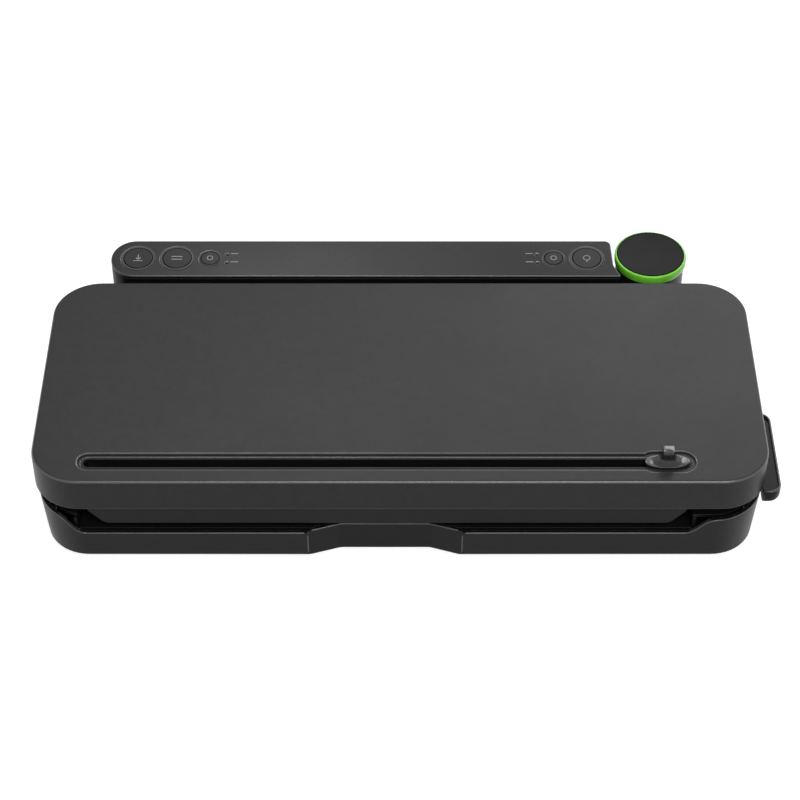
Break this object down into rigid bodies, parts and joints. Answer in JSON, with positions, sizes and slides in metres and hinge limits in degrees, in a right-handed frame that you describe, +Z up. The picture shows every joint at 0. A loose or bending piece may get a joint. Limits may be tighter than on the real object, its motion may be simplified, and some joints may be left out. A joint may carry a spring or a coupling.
{
  "type": "vacuum sealer",
  "caption": "Countertop bag vacuum sealer with a hinged lid, sliding bag cutter, side latch lever, rear button bar and a docked handheld suction head.",
  "frame": {"origin": "on the standing plane under the rubber feet, below the middle of the overall width and depth", "axes": "+X to the user's right, +Y to the back, +Z up"},
  "size_m": [0.3984, 0.205, 0.0725],
  "materials": {
    "base_plastic": "satin moulded",
    "lid_plastic": "fine satin texture",
    "inner_plastic": "plain moulded",
    "bar_plastic": "satin moulded",
    "fascia_plastic": "fine satin texture",
    "button_plastic": "fine satin texture",
    "bezel_plastic": "polished",
    "lamp_plastic": "clear smoked",
    "black_rubber": "matt",
    "foam_gasket": "closed-cell foam",
    "silicone": "matt silicone",
    "release_tape": "woven coated tape",
    "steel": "ground",
    "screw_steel": "zinc plated",
    "lever_plastic": "satin moulded",
    "slider_plastic": "satin moulded",
    "green_plastic": "satin gloss",
    "head_plastic": "satin moulded",
    "cap_plastic": "satin moulded",
    "tray_plastic": "smooth",
    "board": "circuit board",
    "motor_steel": "plated can",
    "core_iron": "laminated",
    "pump_plastic": "moulded"
  },
  "bodies": {
    "base": {"bag_guides": "inner_plastic", "base_housing": "base_plastic", "bottom_cover": "base_plastic", "bottom_screws": "screw_steel", "button_rings": "bezel_plastic", "control_board": "board", "control_fascia": "fascia_plastic", "control_housing": "bar_plastic", "deck_plate": "inner_plastic", "dock_sleeve": "inner_plastic", "drip_tray": "tray_plastic", "heating_strip": "steel", "hinge_arms": "inner_plastic", "hinge_pins": "steel", "lamp_windows": "lamp_plastic", "latch_bushes": "silicone", "lid_microswitch": "inner_plastic", "lower_gasket": "foam_gasket", "power_board": "board", "power_inlet": "inner_plastic", "pump_bracket": "inner_plastic", "pump_head": "pump_plastic", "pump_motor": "motor_steel", "push_switches": "inner_plastic", "release_tape": "release_tape", "rubber_feet": "black_rubber", "seal_bar": "silicone", "suction_hose": "silicone", "transformer": "core_iron", "vacuum_port": "inner_plastic"},
    "lid": {"lid_shell": "lid_plastic", "lid_inner_panel": "inner_plastic", "upper_gasket": "foam_gasket", "pressure_strip": "silicone", "cutter_rail": "inner_plastic", "lid_catches": "steel", "lid_hinge_lugs": "inner_plastic"},
    "cutter": {"cutter_slider": "slider_plastic", "cutter_blade": "steel", "cutter_shoe": "inner_plastic"},
    "latch": {"latch_lever": "lever_plastic", "latch_shaft": "steel", "latch_hooks": "steel", "lever_screw": "screw_steel"},
    "vacuum_key": {"vacuum_button": "button_plastic"},
    "seal_key": {"seal_button": "button_plastic"},
    "food_mode_key": {"food_mode_button": "button_plastic"},
    "port_mode_key": {"port_mode_button": "button_plastic"},
    "handheld_key": {"handheld_button": "button_plastic"},
    "handheld": {"handheld_body": "head_plastic", "handheld_ring": "green_plastic", "handheld_cap": "cap_plastic", "handheld_seal": "black_rubber"}
  },
  "joints": [
    {"name": "lid_hinge", "type": "hinge", "parent": "base", "child": "lid", "pos_m": [-0.0042, 0.0488, 0.056], "axis": [-1, 0, 0], "range_deg": [0, 80]},
    {"name": "cutter_slide", "type": "slide", "parent": "lid", "child": "cutter", "axis": [-1, 0, 0], "range_m": [0, 0.295]},
    {"name": "latch_turn", "type": "hinge", "parent": "base", "child": "latch", "pos_m": [-0.0042, -0.0365, 0.0335], "axis": [1, 0, 0], "range_deg": [0, 15]},
    {"name": "vacuum_press", "type": "slide", "parent": "base", "child": "vacuum_key", "axis": [0, 0.0698, -0.9976], "range_m": [0, 0.001], "stiffness_N_per_m": 900},
    {"name": "seal_press", "type": "slide", "parent": "base", "child": "seal_key", "axis": [0, 0.0698, -0.9976], "range_m": [0, 0.001], "stiffness_N_per_m": 900},
    {"name": "food_mode_press", "type": "slide", "parent": "base", "child": "food_mode_key", "axis": [0, 0.0698, -0.9976], "range_m": [0, 0.001], "stiffness_N_per_m": 900},
    {"name": "port_mode_press", "type": "slide", "parent": "base", "child": "port_mode_key", "axis": [0, 0.0698, -0.9976], "range_m": [0, 0.001], "stiffness_N_per_m": 900},
    {"name": "handheld_press", "type": "slide", "parent": "base", "child": "handheld_key", "axis": [0, 0.0698, -0.9976], "range_m": [0, 0.001], "stiffness_N_per_m": 900},
    {"name": "handheld_lift", "type": "slide", "parent": "base", "child": "handheld", "axis": [0, 0, 1], "range_m": [0, 0.06]}
  ]
}
